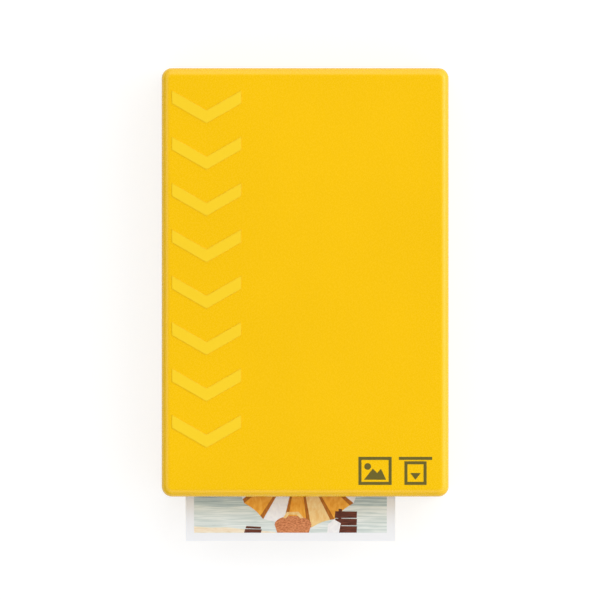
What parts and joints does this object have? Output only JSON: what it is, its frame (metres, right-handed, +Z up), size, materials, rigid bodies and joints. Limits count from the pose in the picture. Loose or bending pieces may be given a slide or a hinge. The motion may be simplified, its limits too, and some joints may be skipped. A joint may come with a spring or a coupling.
{
  "type": "compact photo printer",
  "caption": "Pocket photo printer: flat round-cornered casing with a hinged paper cover, sheet tray, driven rollers, print head and a print leaving its front slot.",
  "frame": {"origin": "middle of the non-slip ring's underside, on the plane the printer rests on", "axes": "+Z up through the cover; -Y is the front, where the print leaves; +Y is the rear, where the cover is hinged; +X is the right side"},
  "size_m": [0.078, 0.1285, 0.0205],
  "materials": {
    "yellow_casing": "satin",
    "arrow_gloss": "gloss",
    "sign_ink": "printed",
    "button_yellow": "satin",
    "foot_rubber": "matte",
    "roller_rubber": "matte",
    "frame_steel": "zinc plated",
    "bright_steel": "ground",
    "screw_steel": "plated",
    "spring_steel": "drawn",
    "magnet_nickel": "nickel plated",
    "bush_brass": "turned",
    "tray_plastic": "fine grain",
    "gear_plastic": "moulded",
    "sink_aluminium": "milled",
    "strip_ceramic": "glazed",
    "sheet_paper": "gloss coated",
    "board_green": "solder mask",
    "chip_black": "moulded",
    "socket_white": "moulded",
    "ribbon_amber": "film",
    "lead_blue": "insulation",
    "lead_red": "insulation",
    "cell_film": "foil pouch",
    "pipe_clear": "clear",
    "lamp_white": "clear"
  },
  "bodies": {
    "base": {"base_pan": "yellow_casing", "non_slip_ring": "foot_rubber", "casing_screws": "screw_steel", "left_side_plate": "frame_steel", "right_side_plate": "frame_steel", "frame_screws": "screw_steel", "head_bridge": "frame_steel", "paper_tray": "tray_plastic", "exit_guide": "tray_plastic", "paper_stack": "sheet_paper", "roller_bushes": "bush_brass", "idler_axles": "bright_steel", "motor_can": "frame_steel", "motor_screws": "screw_steel", "motor_leads": "lead_blue", "battery_cell": "cell_film", "battery_leads": "lead_red", "main_board": "board_green", "board_screws": "screw_steel", "board_chips": "chip_black", "shield_can": "frame_steel", "usb_socket": "frame_steel", "power_switch": "chip_black", "reset_switch": "chip_black", "lead_sockets": "socket_white", "ribbon_connector": "socket_white", "head_ribbon": "ribbon_amber", "charge_lamp": "lamp_white", "light_pipe": "pipe_clear", "head_springs": "spring_steel", "catch_magnets": "magnet_nickel"},
    "cover": {"top_cover": "yellow_casing", "hinge_pins": "bright_steel", "feed_arrows": "arrow_gloss", "cover_signs": "sign_ink", "pressure_springs": "spring_steel", "catch_plates": "frame_steel"},
    "pressure": {"pressure_plate": "tray_plastic"},
    "print": {"print_sheet": "sheet_paper"},
    "platen": {"platen_shaft": "bright_steel", "platen_rubber": "roller_rubber", "platen_gear": "gear_plastic"},
    "exit_roller": {"exit_shaft": "bright_steel", "exit_tyres": "roller_rubber", "exit_gear": "gear_plastic"},
    "pinch": {"pinch_shaft": "bright_steel", "pinch_rollers": "gear_plastic"},
    "pick": {"pick_shaft": "bright_steel", "pick_tyres": "roller_rubber", "pick_gear": "gear_plastic"},
    "front_idler_gear": {"front_idler": "gear_plastic"},
    "rear_idler_gear": {"rear_idler": "gear_plastic"},
    "reduction": {"reduction_gear": "gear_plastic"},
    "motor": {"motor_shaft": "bright_steel", "motor_pinion": "bush_brass"},
    "print_head": {"print_head_sink": "sink_aluminium", "print_head_strip": "strip_ceramic", "head_pivot_pin": "bright_steel"},
    "button": {"power_button": "button_yellow"}
  },
  "joints": [
    {"name": "cover_hinge", "type": "hinge", "parent": "base", "child": "cover", "pos_m": [0, 0.05605, 0.0182], "axis": [-1, 0, 0], "range_deg": [0, 95]},
    {"name": "pressure_lift", "type": "slide", "parent": "cover", "child": "pressure", "axis": [0, 0, 1], "range_m": [0, 0.002], "stiffness_N_per_m": 80, "springref_m": -0.003, "deforming": ["pressure_springs"]},
    {"name": "print_feed", "type": "slide", "parent": "base", "child": "print", "axis": [0, -1, 0], "range_m": [-0.0395, 0.066]},
    {"name": "platen_spin", "type": "hinge", "parent": "base", "child": "platen", "pos_m": [-0.004, -0.042, 0.00695], "axis": [1, 0, 0], "continuous": true},
    {"name": "exit_spin", "type": "hinge", "parent": "base", "child": "exit_roller", "pos_m": [-0.004, -0.052, 0.00795], "axis": [1, 0, 0], "continuous": true},
    {"name": "pinch_spin", "type": "hinge", "parent": "base", "child": "pinch", "pos_m": [-0.004, -0.052, 0.01371], "axis": [1, 0, 0], "continuous": true},
    {"name": "pick_spin", "type": "hinge", "parent": "base", "child": "pick", "pos_m": [-0.004, -0.02474, 0.00695], "axis": [1, 0, 0], "continuous": true},
    {"name": "front_idler_spin", "type": "hinge", "parent": "base", "child": "front_idler_gear", "pos_m": [-0.004, -0.04722, 0.0122], "axis": [1, 0, 0], "continuous": true},
    {"name": "rear_idler_spin", "type": "hinge", "parent": "base", "child": "rear_idler_gear", "pos_m": [-0.004, -0.03337, 0.0095], "axis": [1, 0, 0], "continuous": true},
    {"name": "reduction_spin", "type": "hinge", "parent": "base", "child": "reduction", "pos_m": [-0.004, -0.01922, 0.0102], "axis": [1, 0, 0], "continuous": true},
    {"name": "motor_spin", "type": "hinge", "parent": "base", "child": "motor", "pos_m": [-0.004, -0.01104, 0.006], "axis": [1, 0, 0], "continuous": true},
    {"name": "head_pivot", "type": "hinge", "parent": "base", "child": "print_head", "pos_m": [-0.004, -0.0364, 0.01411], "axis": [-1, 0, 0], "range_deg": [0, 3], "stiffness_Nm_per_rad": 0.03, "springref_deg": -2.86, "deforming": ["head_springs"]},
    {"name": "power_press", "type": "slide", "parent": "base", "child": "button", "axis": [-1, 0, 0], "range_m": [0, 0.0005], "stiffness_N_per_m": 400, "springref_m": -0.0005}
  ],
  "couplings": [
    {"joint": "platen_spin", "follows": "print_feed", "rad_per_m": 250},
    {"joint": "exit_spin", "follows": "print_feed", "rad_per_m": 333.33},
    {"joint": "pinch_spin", "follows": "print_feed", "rad_per_m": -416.67},
    {"joint": "pick_spin", "follows": "print_feed", "rad_per_m": 250},
    {"joint": "front_idler_spin", "follows": "print_feed", "rad_per_m": -294.12},
    {"joint": "rear_idler_spin", "follows": "print_feed", "rad_per_m": -200},
    {"joint": "reduction_spin", "follows": "print_feed", "rad_per_m": -416.67},
    {"joint": "motor_spin", "follows": "print_feed", "rad_per_m": 1500}
  ]
}
